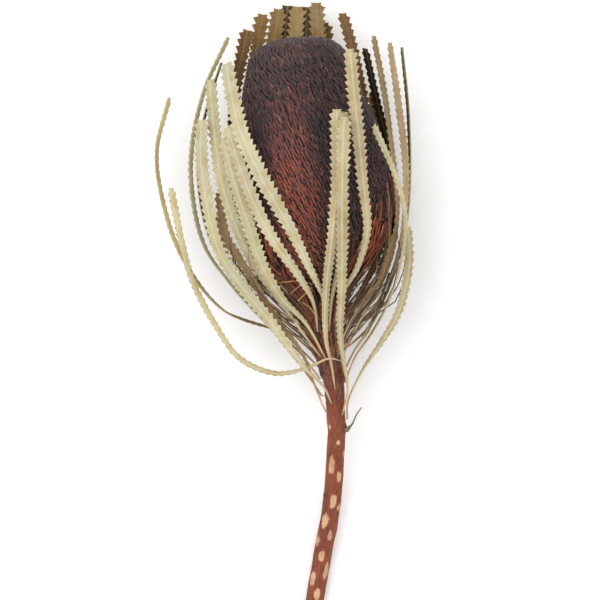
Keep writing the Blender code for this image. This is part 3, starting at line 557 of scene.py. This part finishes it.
def build_stem():
    """Bark skin: radius(y) + scars + bark ridges (sines round the stem whose phase drifts with y) +
    neck scales, on a grid of angle and y. The cut end is a disc of rings, the twig a swept rod."""
    heights = np.linspace(STEM_Y[0], STEM_Y[-1], int((STEM_Y[-1] - STEM_Y[0]) / STEM_STEP))
    centre = np.stack([soften(column, 15) for column in axis_at(heights).T], axis=1)
    tangent = unit(np.gradient(centre, axis=0))
    side = unit(np.cross(tangent, [0.0, 0.0, 1.0]))
    up = np.cross(side, tangent)
    angle = 360 * np.arange(STEM_SIDES)[None, :] / STEM_SIDES
    y = heights[:, None]
    radius = np.interp(y, STEM_Y, STEM_R)
    behind = [(at + SCARS_BEHIND[0], turn + SCARS_BEHIND[1], wide, tall)
              for at, turn, wide, tall in SCARS]
    scar = ovals(SCARS + behind, y, angle, radius)
    dark = ovals(DARK_BUMPS, y, angle, radius)
    neck = smoothstep(88, 116, y + 5 * np.sin(np.radians(3 * angle)))
    turn = np.radians(angle)
    ridges = (np.sin(11 * turn + 0.35 * y) + np.sin(17 * turn - 0.21 * y + 1.3)
              + np.sin(29 * turn + 0.5 * y + 2.1) * 0.6)
    cells = np.abs(np.cos(4.5 * turn + 0.54 * y) * np.cos(4.5 * turn - 0.54 * y))
    raised = (0.32 * scar + 0.5 * dark + 0.09 * ridges * (1 - scar) * (1 - 0.6 * neck)
              + 0.75 * neck * (cells - 0.35))
    around = np.sin(turn)[..., None] * side[:, None] + np.cos(turn)[..., None] * up[:, None]
    ring = centre[:, None] + (radius + raised)[..., None] * around
    ring[..., 2] = np.maximum(ring[..., 2], STEM_CLEAR)
    disc = centre[0] + (ring[0] - centre[0]) * np.array([0.06, 0.3, 0.6, 0.9])[:, None, None]
    points = np.concatenate([disc.reshape(-1, 3), ring.reshape(-1, 3)])
    rows = len(disc) + len(ring)
    quads = grid_faces(rows, STEM_SIDES)
    twig, _ = smooth_path(STUB_TWIG, 0.7)
    thick = np.interp(np.linspace(0, 1, len(twig)), [0, 0.25, 0.5, 1], [1.2, 0.44, 0.3, 0.24])[None]
    twig_points, twig_faces = sweep(twig[None], thick, thick, TWIG_ASIDE, 9)
    on_disc = np.zeros(len(disc) * STEM_SIDES)
    layers = {key: np.concatenate([on_disc, np.broadcast_to(values, scar.shape).ravel(),
                                   np.full(len(twig_points), on_twig)])
              for key, values, on_twig in (("scar", scar, 0), ("neck", neck, 0.5),
                                           ("bump", dark, 0), ("weathered", 0, 0.85))}
    twig_faces = [f + len(points) for f in twig_faces]
    cut = np.concatenate([np.arange(len(quads)) < len(on_disc), [True, False],
                          np.zeros(sum(len(f) for f in twig_faces), bool)])
    piece("stem_bark", np.concatenate([points, twig_points]),
          [quads, end_faces(rows, STEM_SIDES)] + twig_faces,
          [bark_material(), cut_wood_material()], layers, nodes=["stem"], second=cut)


def cone_surface(run, angle, lift):
    """Cone point: run mm along the surface from the top's middle, lift mm out along its normal.
    The profile is the radius against s; the normal is the profile's tangent turned by 90
    degrees."""
    slope = np.arctan2(np.interp(run, PROFILE_RUN, PROFILE_DS),
                       np.interp(run, PROFILE_RUN, PROFILE_DR))
    s_at = np.interp(run, PROFILE_RUN, PROFILE_S) - lift * np.cos(slope)
    r_at = radius_at(run) + lift * np.sin(slope)
    around = np.sin(angle)[..., None] * CONE_SIDE + np.cos(angle)[..., None] * CONE_UP
    return CONE_TOP + s_at[..., None] * CONE_DOWN + r_at[..., None] * around


def radius_at(run):
    """The cone's radius, run mm along the surface from the top's middle."""
    return np.interp(run, PROFILE_RUN, PROFILE_R)


def area_along(run):
    """Surface of the cone from its top to each run: rings of 2 pi r, added up."""
    around = 2 * np.pi * radius_at(run)
    return np.cumsum([0, *(np.diff(run) * (around[1:] + around[:-1]) / 2)])


def sink_at(run):
    """How far core and buds sink near the cone's top, so that the buds' ends keep its form."""
    return TIP_SINK * (1 - smoothstep(*SINK_RUN, run))


def cone_profile():
    """The cone's profile, softened by a running mean, against its run along the surface."""
    raw_run = np.cumsum([0, *np.hypot(np.diff(CONE_S), np.diff(CONE_R))])
    run = np.linspace(0, raw_run[-1], 500)
    s, r = (soften(np.interp(run, raw_run, v), 19) for v in (CONE_S, CONE_R))
    return run, s, r, np.gradient(s, run), np.gradient(r, run)


def bud_hues(run, angle):
    """Colour of the buds: dusky brown at the top, rust down the front, painted shade in slate
    on both flanks and painted shade under the wires, with pink-red to orange streaks. A streak
    is sin(2.1 c + 1.3 sin(0.45 d)) sin(0.9 c + 0.35 d), with c across and d along a line that
    falls to the right."""
    share = run / PROFILE_RUN[-1]
    base = ramp(share, [0.0, 0.22, 0.36, 0.5, 0.66, 0.8, 1.0],
                ["#4e3f3b", "#4b3a37", "#5f3d38", "#7b463e", "#84483e", "#804a3a", "#5f3626"])
    degrees = wrapped(np.degrees(angle))
    # painted shade: buds on both flanks are darkened toward slate, and their streaks fade there
    painted_flank_shade = np.maximum(smoothstep(-8, 14, degrees), smoothstep(22, 36, -degrees))
    painted_flank_shade = painted_flank_shade * (1 - smoothstep(0.76, 0.92, share))
    painted_flank_shade = painted_flank_shade * (0.3 + 0.7 * smoothstep(0.22, 0.42, share))
    base = toward(base, linear("#25292a"), 0.85 * painted_flank_shade)
    # painted shade under the wires, on the lower flanks
    painted_shade_under_wires = smoothstep(28, 44, np.abs(degrees)) * smoothstep(0.6, 0.68, share)
    base = toward(base, linear("#2e1c14"), 0.8 * painted_shade_under_wires)
    across = angle * radius_at(run)
    c, d = 0.87 * across - 0.5 * run, 0.5 * across + 0.87 * run
    streak = np.sin(2.1 * c + 1.3 * np.sin(0.45 * d)) * np.sin(0.9 * c + 0.35 * d)
    lit = smoothstep(0.15, 0.75, streak + 0.35 * RNG.normal(size=len(run))) * (1 - 0.7 * painted_flank_shade)
    lit = lit * (0.4 + 0.6 * smoothstep(0.2, 0.45, share))
    rust = ramp(share, [0.2, 0.45, 0.7], ["#8a4449", "#97493c", "#b05c36"])
    base = toward(base, rust, 0.6 * lit)
    draw = RNG.random(len(run))
    for low, high, code, amount in ((0, 0.13, "#241d1f", 0.5), (0.13, 0.2, "#243236", 0.45),
                                    (0.2, 0.25, "#b07a64", 0.25)):
        base = toward(base, linear(code), ((draw >= low) & (draw < high)) * amount)
    return base * RNG.uniform(0.85, 1.15, (len(run), 1))


def build_cone(buds):
    """Core, painted dark as shade between the buds, and on it hooked buds at the golden angle, one
    to each BUD_AREA of the surface.
    Each bud rises from the core, bends up along the surface and leans to the left. The buds in
    front are one piece and those behind another, so that neither has too many faces."""
    core_run = np.linspace(0.3, PROFILE_RUN[-1], CORE_ROWS)
    area = area_along(core_run)
    count = int(np.interp(BUD_END * PROFILE_RUN[-1], core_run, area) / BUD_AREA)
    k = np.arange(count) + 0.5
    run = np.interp(k * BUD_AREA, area, core_run) + RNG.normal(0, 0.22, count)
    radius = np.maximum(radius_at(run), 1.5)
    angle = GOLDEN * k + RNG.normal(0, 0.2, count) / radius
    out = unit(cone_surface(run, angle, 0 * run + 1) - cone_surface(run, angle, 0 * run))
    reach = np.array([0.3, -0.6, -2.4]) * RNG.uniform(0.7, 1.25, (count, 1))
    lift = np.array([-0.7, 0.25, 0.6]) + RNG.normal(0, 0.15, (count, 1)) - sink_at(run)[:, None]
    sway = np.array([0, 0, -0.8]) / np.maximum(radius, 6)[:, None]
    paths = cone_surface(np.maximum(run[:, None] + reach, 0.1), angle[:, None] + sway, lift)
    wide = np.array([0.5, 0.62, 0.22]) * RNG.uniform(0.85, 1.1, (count, 1))
    # each bud runs from painted shade at its root to lighter at its end
    hue = bud_hues(run, angle)[:, None] * np.repeat(BUD_SHADES, BUD_SIDES)[:, None]
    in_front = np.cos(angle) > 0
    for name, some, nodes in (("cone_buds", in_front, ["cone"]),
                              ("cone_buds_behind", ~in_front, [])):
        points, faces = sweep(paths[some], wide[some], 0.75 * wide[some], out[some][:, None],
                              BUD_SIDES)
        piece(name, points, faces, [buds], {"hue": hue[some].reshape(-1, 3)},
              nodes=nodes, crease=75)
    turns = 2 * np.pi * np.arange(CORE_SIDES) / CORE_SIDES
    run, turns = np.broadcast_arrays(core_run[:, None], turns)
    core = cone_surface(run, turns, CORE_LIFT) + sink_at(run)[..., None] * CONE_DOWN
    faces = [grid_faces(CORE_ROWS, CORE_SIDES), end_faces(CORE_ROWS, CORE_SIDES)]
    # painted shade: the core is dark brown, so the gaps between the buds look shaded
    shade = np.broadcast_to(linear("#33221d"), (CORE_ROWS * CORE_SIDES, 3))
    piece("cone_core", core.reshape(-1, 3), faces, [buds], {"hue": shade})


def build_styles(wires):
    """Wires on the lower half, higher up on the flanks than in front: each comes out, bends and
    runs up over the buds to a hooked end. A few loose ones cross in front of the cone's foot."""
    k = np.arange(STYLE_COUNT)
    share = 0.5 + 0.47 * (k * SPREAD % 1)
    angle = GOLDEN * k + RNG.uniform(-0.05, 0.05, STYLE_COUNT)
    aside = np.abs(wrapped(np.degrees(angle)))
    keep = share > 0.93 - 0.26 * smoothstep(26, 46, aside) - 0.03 * smoothstep(55, 80, aside)
    keep = keep & (RNG.random(STYLE_COUNT) < 0.7)
    run, angle = PROFILE_RUN[-1] * share[keep], angle[keep]
    count = len(angle)
    length = RNG.uniform(0.8, 1.6, (count, 1))
    reach = np.array([1.5, 2.0, 0.8, -1.6, -4.6, -7.6, -8.4]) * length
    lift = np.array([-1.0, 0.8, 1.7, 2.1, 2.1, 1.7, 0.9]) + RNG.normal(0, 0.35, (count, 1))
    sway = (RNG.normal(0, 0.04, (count, 1)) + 0.03) * np.array([0, 0.1, 0.3, 0.6, 1.0, 1.6, 2.6])
    reach = np.clip(run[:, None] + reach, 1, PROFILE_RUN[-1])
    paths = cone_surface(reach, angle[:, None] + sway, lift)
    thick = np.array([0.26, 0.3, 0.34, 0.36, 0.36, 0.34, 0.3]) * RNG.uniform(0.75, 1.15, (count, 1))
    rings = thick.shape[1]
    paths = np.concatenate([paths, [smooth_way(way, rings) for way in CROSSING]])
    thick = np.concatenate([thick, np.full((len(CROSSING), rings), CROSSING_HALF)])
    points, faces = sweep(paths, thick, thick, WIRE_ASIDE, 5)
    palette = colours("#a8532f", "#8a3e28", "#683223", "#b8744a", "#34201a", "#b98a5a")
    pick = RNG.choice(6, count, p=[0.3, 0.24, 0.18, 0.09, 0.16, 0.03])
    pick = np.concatenate([pick, np.full(len(CROSSING), 5)])
    hue = palette[pick] * RNG.uniform(0.65, 1.05, (len(pick), 1))
    hue = np.repeat(hue, len(points) // len(paths), axis=0)
    piece("cone_styles", points, faces, [wires], {"hue": hue}, crease=70)


def build_streaks(wires):
    """Thin styles that lie pressed on the buds, one to each STREAK_AREA at the golden angle, fewer
    toward the top. Each runs 2 to 4 mm down the cone and a little to the right."""
    area = area_along(PROFILE_RUN)
    k = np.arange(int(0.95 * area[-1] / STREAK_AREA)) + 0.5
    run = np.interp(k * STREAK_AREA, area, PROFILE_RUN) + RNG.normal(0, 0.8, len(k))
    angle = GOLDEN * k + RNG.normal(0, 0.02, len(k))
    share = run / PROFILE_RUN[-1]
    keep = RNG.random(len(k)) < 0.25 + 1.1 * smoothstep(0.3, 0.6, share)
    keep = keep & (share > 0.2) & (share < 0.93)
    run, angle, share = run[keep], angle[keep], share[keep]
    count = len(run)
    along = np.array([0, 0.25, 0.5, 0.75, 1.0]) * RNG.uniform(2.0, 4.2, (count, 1))
    lift = np.array([0.2, 0.62, 0.8, 0.7, 0.1]) + RNG.normal(0, 0.1, (count, 1))
    turn = angle[:, None] + (0.42 * along + 0.1) / radius_at(run)[:, None]
    paths = cone_surface(run[:, None] + along, turn, lift)
    thick = np.array([0.14, 0.2, 0.22, 0.2, 0.14]) * RNG.uniform(0.8, 1.2, (count, 1))
    points, faces = sweep(paths, thick, thick, WIRE_ASIDE, 4)
    lit = ramp(share, [0.2, 0.45, 0.7, 0.95], ["#5c3a3e", "#8c463c", "#bd6338", "#c47a48"])
    degrees = wrapped(np.degrees(angle))
    # painted shade: streaks on both flanks are darkened, as the buds there are
    painted_streak_shade = np.maximum(smoothstep(-12, 14, degrees), smoothstep(20, 34, -degrees))
    painted_streak_shade = painted_streak_shade * smoothstep(0.22, 0.42, share) * (1 - smoothstep(0.75, 0.9, share))
    lit = toward(lit, linear("#4a3430"), 0.75 * painted_streak_shade) * RNG.uniform(0.75, 1.2, (count, 1))
    hue = np.repeat(lit, len(points) // len(paths), axis=0)
    piece("cone_streaks", points, faces, [wires], {"hue": hue}, crease=75)


def build_bracts(buds):
    """Dry bracts. Short ones clothe the neck. Long narrow ones rise from it and flare round the
    cone's foot, a few mm inside the shell that the leaves bow round. At both sides these start
    lower, are longer, and bow further out, which makes a fan of fine strands."""
    k = np.arange(BRACT_COUNT)
    long = k % 2 == 0
    place = k * SPREAD % 1
    angle = GOLDEN * k + RNG.uniform(-0.1, 0.1, BRACT_COUNT)
    aside = np.abs(wrapped(np.degrees(angle)))
    at_side = smoothstep(45, 70, aside) * (1 - smoothstep(100, 125, aside))
    strand = at_side * long
    length = np.where(long, RNG.uniform(16, 34, BRACT_COUNT), RNG.uniform(5, 10, BRACT_COUNT))
    length = length * np.where(long & (aside < 30), 0.55, 1) * (1 + 0.9 * strand)
    y = np.where(long, 110 + 20 * place, 100 + 29 * place ** 0.75) - 13 * strand
    along = np.linspace(0, 1, 9)
    at = y[:, None] + along * length[:, None]
    inside = RNG.uniform(0.6, 5.5, (BRACT_COUNT, 1))
    bow = at_side[:, None] * RNG.uniform(0, BRACT_BOW, (BRACT_COUNT, 1)) * smoothstep(0, 0.5, along)
    shell = np.interp(at + bow, SHELL_Y, SHELL_R) - inside + 0.25 * bow
    bark = np.interp(at, STEM_Y + [140], STEM_R + [10.5]) + 0.25 + 0.9 * along ** 2
    radius = np.where(long[:, None], np.maximum(shell, bark), bark)
    radius = radius - 0.9 * (1 - smoothstep(0, 0.25, along))
    turn = angle[:, None] + 0.16 * RNG.normal(size=(BRACT_COUNT, 1)) * along ** 2
    direction = np.stack([np.sin(turn), 0 * turn, np.cos(turn)], axis=-1)
    paths = axis_at(at) + radius[..., None] * direction
    shape = np.where(long[:, None], [0.5, 0.5, 0.48, 0.45, 0.42, 0.38, 0.32, 0.24, 0.1],
                     [0.6, 0.8, 0.85, 0.8, 0.7, 0.6, 0.45, 0.3, 0.1])
    wide = shape * RNG.uniform(0.6, 1.15, (BRACT_COUNT, 1))
    thick = wide * (0.45 + 0.5 * at_side[:, None])
    points, faces = sweep(paths, wide, thick, direction[:, 0][:, None], 6)
    palette = colours("#804128", "#5a3523", "#38221a", "#9c6036", "#947951")
    hue = palette[RNG.choice(5, BRACT_COUNT, p=[0.34, 0.25, 0.17, 0.13, 0.11])]
    hue = toward(hue, linear("#8f7d58"), 0.55 * strand)
    hue = np.repeat(hue, len(points) // len(paths), axis=0)
    piece("neck_bracts", points, faces, [buds], {"hue": hue}, crease=75)


def leaf_way(y, angle, way):
    """Control points of a leaf from the stem's bark to its tip, and its root inside the bark."""
    turn = math.radians(angle)
    out = np.array([math.sin(turn), 0.0, math.cos(turn)])
    foot = axis_at(y)
    radius = np.interp(y, STEM_Y, STEM_R)
    points = [foot + (radius + FOOT_OUT + (NECK_OUT if y > NECK_FROM else 0)) * out]
    for x, py, value, *side in way:
        height = value
        if side:
            centre = axis_at(py)
            shell = np.interp(py, SHELL_Y, SHELL_R) + value
            bow = math.sqrt(max(shell ** 2 - (x - centre[0]) ** 2, 0))
            height = centre[2] + (bow if side == ["f"] else -bow)
        points.append(np.array([x, py, height]))
    return points, foot + (radius - ROOT_DEEP) * out


def leaf_stations(length):
    """Rows along a leaf: one each 1.2 mm of the stalk, then four to a tooth, placed at its notch,
    half way up its long side, at its point and half way down its short side, and the cut-off tip,
    which is as narrow as a notch and ends in two small horns."""
    stalk = np.linspace(0, STALK, 12)[:-1]
    teeth = int(round((length - TIP_CUT - STALK) / TOOTH_PITCH))
    pitch = (length - TIP_CUT - STALK) / teeth
    phase = np.array([0.0, 0.33, 0.66, 0.84])
    blade = (STALK + pitch * (np.arange(teeth)[:, None] + phase)).ravel()
    tip = [length - 1.5, length - 0.8, length]
    saw = np.concatenate([0 * stalk, np.tile([0.0, 0.5, 1.0, 0.4], teeth), [-0.25, -0.2, 0.0]])
    return np.concatenate([stalk, blade, tip]), saw


def build_leaf(row, mats):
    """A thin saw-edged strap. Across it x runs over columns from edge to edge; its height is a
    roof, thick at the rib and thin at the edge, over the same centre line, turn and twist as the
    solid. Its columns shear along it by VEIN_SKEW, which makes the teeth lean forward."""
    number, y, angle, face, twist, wide, felt, smooth, way = row
    name, index = f"leaf_{number:02d}", number - 1
    control, root = leaf_way(y, angle, way)
    dense, run = smooth_path(control, 0.8)
    end = run[-1]
    tangent = unit(np.gradient(dense, run, axis=0))
    out = dense - axis_at(dense[:, 1])
    turn = np.arctan2(out[:, 0], out[:, 2]) * (1 - (1 - face) * np.minimum(run / BLADE_TURN, 1))
    side = unit(np.cross(tangent, np.stack([np.sin(turn), 0 * turn, np.cos(turn)], axis=-1)))
    up = np.cross(side, tangent)
    grow = np.minimum(run / BLADE_TWIST, 1)
    roll = np.radians(twist * grow + 4 * grow * np.sin(run / 15 + 2.4 * index))[:, None]
    side, up = np.cos(roll) * side + np.sin(roll) * up, np.cos(roll) * up - np.sin(roll) * side

    at, saw = leaf_stations(end)
    widens = LEAF_GROW.get(number, min(BLADE_GROW, 0.75 * (end - STALK)))
    width = np.clip((at - STALK) / widens, 0, 1) ** 0.8
    stalk = PETIOLE * min(wide, 1) * np.interp(at, [0, 4, 12], [0.35, 0.7, 1])
    notch = stalk + width * (TOOTH_NOTCH * wide - stalk)
    deep = (TOOTH_TIP - TOOTH_NOTCH) * wide * width
    slow = 1 + 0.16 * np.sin(at / 5.3 + index) + 0.12 * np.sin(at / 2.9 + 2 * index)
    edge_left = notch + saw * deep * slow
    edge_right = notch + saw * deep * (2 - slow)

    rib = np.minimum(RIB_HALF, 0.5 * notch)
    inner = np.minimum(notch, np.minimum(edge_left, edge_right))
    right = np.stack([0 * at, rib, 0.55 * inner, 0.85 * inner, edge_right], axis=1)
    left = np.stack([edge_left, 0.85 * inner, 0.55 * inner, rib], axis=1)
    x_top = np.concatenate([-left, right], axis=1)
    x_low = np.concatenate([right[:, ::-1], -left[:, ::-1]], axis=1)[:, [0, 1, 3, 4, 5, 7, 8]]
    x = np.concatenate([x_top, x_low], axis=1)
    roof = BLADE_KEEL * (0.75 + 0.25 * width[:, None]) - BLADE_EDGE - RIB_HIGH
    roof = roof * (1 - np.abs(x) / np.maximum(edge_left, edge_right)[:, None]) ** 0.9
    ridge = np.exp(-(x / RIB_HALF) ** 2)
    top = BLADE_EDGE + (roof + RIB_HIGH * ridge)[:, :TOP_COLUMNS]
    low = np.maximum(roof + BLADE_EDGE - BLADE_THICK, 0) - 0.1 * ridge * width[:, None]
    h = np.concatenate([top, low[:, TOP_COLUMNS:]], axis=1)
    if number in RESTING:
        h = -h
    gap = smoothstep(STALK, STALK + 10, at) * (1 - smoothstep(end - 8, end - 3, at))
    drift = 0.5 * np.sin(at / 7.7 + 1.7 * index) * gap
    outward = np.abs(x) / TOOTH_TIP
    v = (at[:, None] + VEIN_SKEW * width[:, None] * np.abs(x)
         + np.where(x > 0, 1, -0.4) * drift[:, None] * np.minimum(outward, 1))
    v = np.minimum(v, end + 0.35 * outward)
    centre = drawn_between(v, run, dense) + np.maximum(v - end, 0)[..., None] * tangent[-1]
    ring = (centre + x[..., None] * drawn_between(v, run, side)
            + h[..., None] * drawn_between(v, run, up))
    ring[..., 2] = np.maximum(ring[..., 2], 0.01)
    foot = root + (ring[0] - ring[0].mean(axis=0)) * 0.7
    ring = np.concatenate([foot[None], ring])
    v = np.concatenate([v[:1] - 1.5, v])
    x = np.concatenate([x[:1], x])

    rows, columns = x.shape
    felted = (np.arange(columns) < TOP_COLUMNS) != (number in RESTING)
    second = np.concatenate([np.tile(~felted, rows - 1), [False, False]])
    tint = np.where(felted[:, None], linear(felt), linear(smooth))
    bare = 1 - smoothstep(6, 30, v)
    tint = toward(tint, ramp(v, [0, 4, 12, 26], ["#6e3f29", "#b08060", "#bf9f78", "#c2b48a"]),
                  0.9 * bare)
    tint = tint * (1 + 0.08 * np.sin(v / 9 + index))[..., None]
    tint = toward(tint, linear("#d6c6aa"), 0.3 * smoothstep(2.2, 3.2, np.abs(x)) * felted)
    uv = np.stack([x / 10 + 0.5, (v + 13.7 * index % 40) / 200], axis=-1).reshape(-1, 2)
    piece(name + "_blade", ring.reshape(-1, 3),
          [grid_faces(rows, columns), end_faces(rows, columns)], mats,
          {"tint": tint.reshape(-1, 3)}, nodes=[name], uv=uv, second=second, crease=42)


def build_leaves():
    """Every leaf, with the felted underside and the smooth upper face as its two finishes."""
    felt = leaf_material("dried leaf underside, felted", 0.85, 0.1, "#d2c8a6", 0.45,
                         ("#cfc6ae", "#fff6e0"))
    glossy = leaf_material("dried leaf upper face, smooth", 0.6, 0.0, "#a58c62", 0.4,
                           ("#a89678", "#ffe8c8"))
    for row in LEAVES:
        build_leaf(row, [felt, glossy])


def build_stage():
    """Pale floor, soft light from the upper left and above, and the photo's camera."""
    scene = bpy.context.scene
    mesh = bpy.data.meshes.new("floor")
    mesh.from_pydata([(x * FLOOR_HALF, y * FLOOR_HALF, 0)
                      for x, y in ((-1, -1), (1, -1), (1, 1), (-1, 1))], [], [(0, 1, 2, 3)])
    floor = bpy.data.objects.new("floor", mesh)
    mat, tree, shader = new_material("matt white paper", 0.95, specular=0.1)
    fibre = add_node(tree, "TexNoise", {"Scale": 900.0, "Detail": 2.0})
    paper = add_node(tree, "ValToRGB", {"Fac": fibre}, stops=[(0.3, "#fbfbfa"), (0.7, "#fefefe")])
    feed(shader, {"Base Color": paper})
    mesh.materials.append(mat)
    scene.collection.objects.link(floor)

    for name, place, size, power in LIGHTS:
        light = bpy.data.lights.new(name, "AREA")
        light.size = size
        light.energy = power
        lamp = bpy.data.objects.new(name, light)
        lamp.location = place
        aim = -np.array(place) / np.linalg.norm(place)
        lamp.rotation_euler = (math.acos(-aim[2]), 0, math.atan2(-aim[0], aim[1]))
        scene.collection.objects.link(lamp)

    scene.world = bpy.data.worlds.new("studio")
    scene.world.use_nodes = True
    feed(scene.world.node_tree.nodes["Background"],
         {"Color": (1, 1, 1, 1), "Strength": WORLD_LIGHT})
    scene.view_settings.view_transform = "Standard"

    camera = bpy.data.objects.new("photo_view", bpy.data.cameras.new("photo_view"))
    camera.data.sensor_width = SENSOR
    camera.data.lens = SENSOR * CAMERA_AWAY / PHOTO_WIDE
    camera.data.clip_end = 20.0
    camera.location = (np.array([*PHOTO_MIDDLE, PHOTO_HEIGHT + CAMERA_AWAY]) + LAYOUT) * MM
    scene.collection.objects.link(camera)
    scene.camera = camera


PROFILE_RUN, PROFILE_S, PROFILE_R, PROFILE_DS, PROFILE_DR = cone_profile()
CONE_DOWN = unit(CONE_FOOT - CONE_TOP)
CONE_SIDE = unit(np.cross(-CONE_DOWN, [0.0, 0.0, 1.0]))
CONE_UP = np.cross(CONE_SIDE, -CONE_DOWN)

build_stage()
build_stem()
flower_buds, dried_styles = bud_material(), wire_material()
build_cone(flower_buds)
build_styles(dried_styles)
build_streaks(dried_styles)
build_bracts(flower_buds)
build_leaves()
